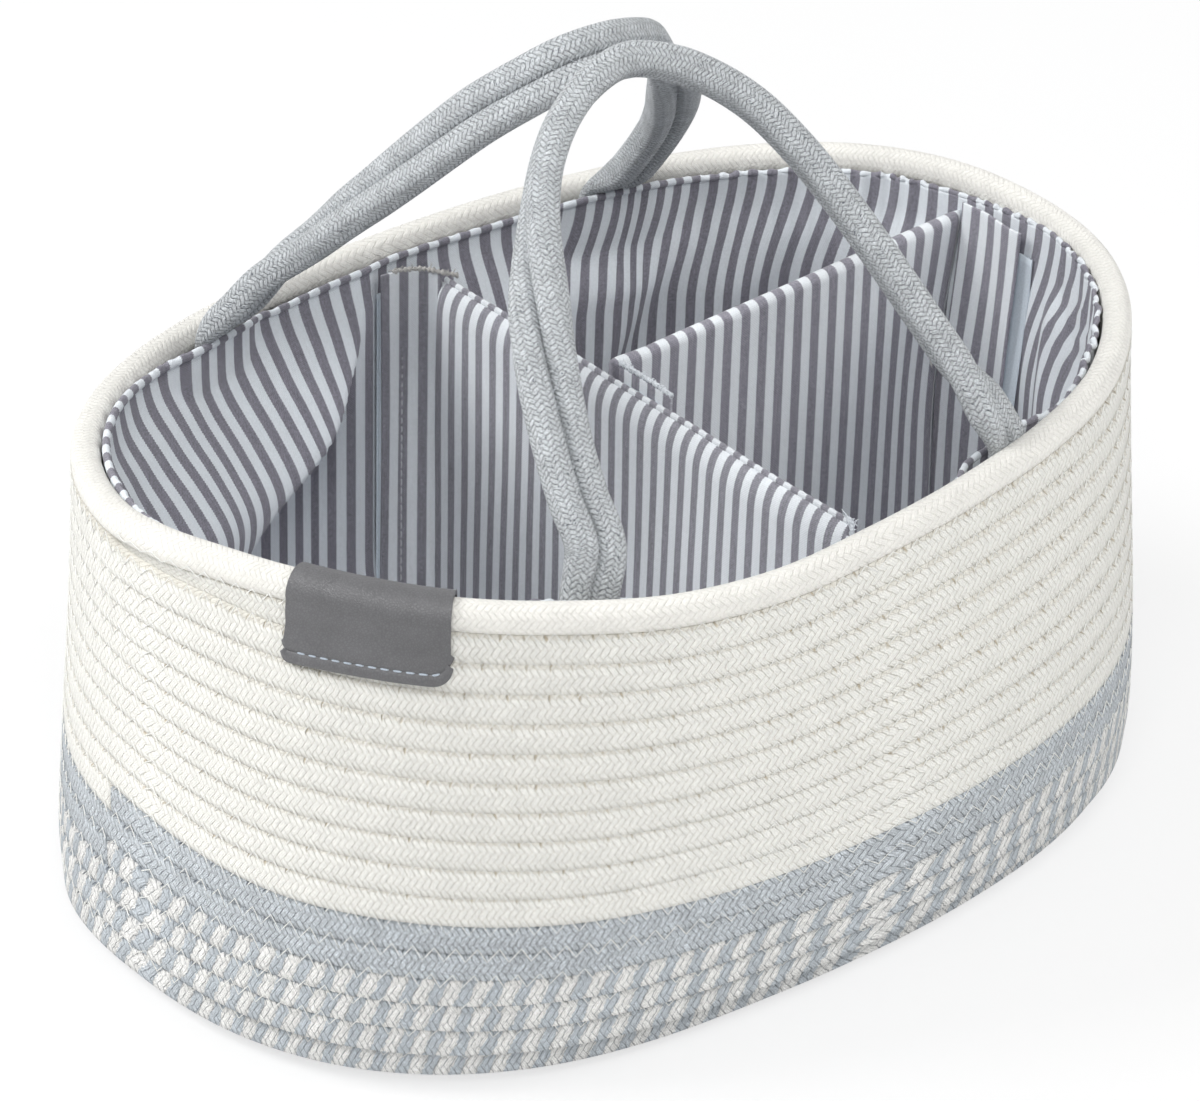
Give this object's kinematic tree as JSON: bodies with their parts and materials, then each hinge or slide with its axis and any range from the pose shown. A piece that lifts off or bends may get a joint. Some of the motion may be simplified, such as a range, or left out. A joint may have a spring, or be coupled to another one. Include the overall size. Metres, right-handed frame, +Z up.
{
  "type": "diaper caddy",
  "caption": "Oval coiled cotton rope basket with striped cotton lining, leather patch, rope swing handles and lift-out padded dividers held by hook and loop flaps",
  "frame": {"origin": "middle of the basket's flat underside, on the surface it stands on", "axes": "+X along the basket's length to the end away from the leather patch, +Y to the rear long side, +Z up"},
  "size_m": [0.3859, 0.2886, 0.299],
  "materials": {
    "cream_rope": "braided cotton, matte",
    "grey_rope": "braided cotton, matte",
    "marled_rope": "braided cotton of white and grey strands, matte",
    "handle_rope": "braided cotton, matte",
    "striped_lining": "plain woven cotton with printed stripes, matte",
    "lining_hem": "rolled and stitched cotton hem, matte",
    "striped_cover": "plain woven cotton with printed stripes, matte",
    "foam_board": "closed-cell foam sheet",
    "hook_tape": "hook and loop tape",
    "leather": "pebbled, soft sheen",
    "thread": "twisted sewing thread"
  },
  "bodies": {
    "basket": {"floor_rope": "marled_rope", "marled_rope": "marled_rope", "grey_rope": "grey_rope", "cream_rope": "cream_rope", "rim_rope": "cream_rope", "lining_wall": "striped_lining", "lining_floor": "striped_lining", "lining_hem": "lining_hem", "leather_patch": "leather", "patch_thread": "thread", "front_handle_left_outer_end": "handle_rope", "front_handle_left_inner_end": "handle_rope", "front_handle_right_outer_end": "handle_rope", "front_handle_right_inner_end": "handle_rope", "rear_handle_left_outer_end": "handle_rope", "rear_handle_left_inner_end": "handle_rope", "rear_handle_right_outer_end": "handle_rope", "rear_handle_right_inner_end": "handle_rope", "lining_rear_loop_strip": "hook_tape", "lining_front_loop_strip": "hook_tape", "lining_right_loop_strip": "hook_tape"},
    "front_handle": {"front_handle_near_rope": "handle_rope", "front_handle_far_rope": "handle_rope"},
    "rear_handle": {"rear_handle_near_rope": "handle_rope", "rear_handle_far_rope": "handle_rope"},
    "cross_divider": {"cross_divider_cover": "striped_cover", "cross_divider_board": "foam_board", "cross_divider_loop_strip": "hook_tape"},
    "long_divider": {"long_divider_cover": "striped_cover", "long_divider_board": "foam_board"},
    "cross_rear_flap": {"cross_divider_rear_flap": "striped_cover", "cross_divider_rear_hook_strip": "hook_tape"},
    "cross_front_flap": {"cross_divider_front_flap": "striped_cover", "cross_divider_front_hook_strip": "hook_tape"},
    "long_left_flap": {"long_divider_left_flap": "striped_cover", "long_divider_left_hook_strip": "hook_tape"},
    "long_right_flap": {"long_divider_right_flap": "striped_cover", "long_divider_right_hook_strip": "hook_tape"}
  },
  "joints": [
    {"name": "front_handle_swing", "type": "hinge", "parent": "basket", "child": "front_handle", "pos_m": [-0.01229, -0.10578, 0.17651], "axis": [0.999, -0.0441, 0], "range_deg": [0, 120]},
    {"name": "rear_handle_swing", "type": "hinge", "parent": "basket", "child": "rear_handle", "pos_m": [0.00189, 0.10619, 0.17093], "axis": [-1, 0.0068, 0], "range_deg": [0, 120]},
    {"name": "cross_divider_lift", "type": "slide", "parent": "basket", "child": "cross_divider", "axis": [0, 0, 1], "range_m": [0, 0.09]},
    {"name": "long_divider_lift", "type": "slide", "parent": "basket", "child": "long_divider", "axis": [0, 0, 1], "range_m": [0, 0.09]},
    {"name": "cross_rear_flap_fold", "type": "hinge", "parent": "cross_divider", "child": "cross_rear_flap", "pos_m": [0.0092, 0.1072, 0.08], "axis": [0, 0, 1], "range_deg": [0, 80]},
    {"name": "cross_front_flap_fold", "type": "hinge", "parent": "cross_divider", "child": "cross_front_flap", "pos_m": [0.0092, -0.103, 0.08], "axis": [0, 0, -1], "range_deg": [0, 80]},
    {"name": "long_left_flap_fold", "type": "hinge", "parent": "long_divider", "child": "long_left_flap", "pos_m": [0.0192, 0.0189, 0.08], "axis": [0, 0, 1], "range_deg": [0, 75]},
    {"name": "long_right_flap_fold", "type": "hinge", "parent": "long_divider", "child": "long_right_flap", "pos_m": [0.17026, 0.0189, 0.08], "axis": [0, 0, -1], "range_deg": [0, 75]}
  ]
}
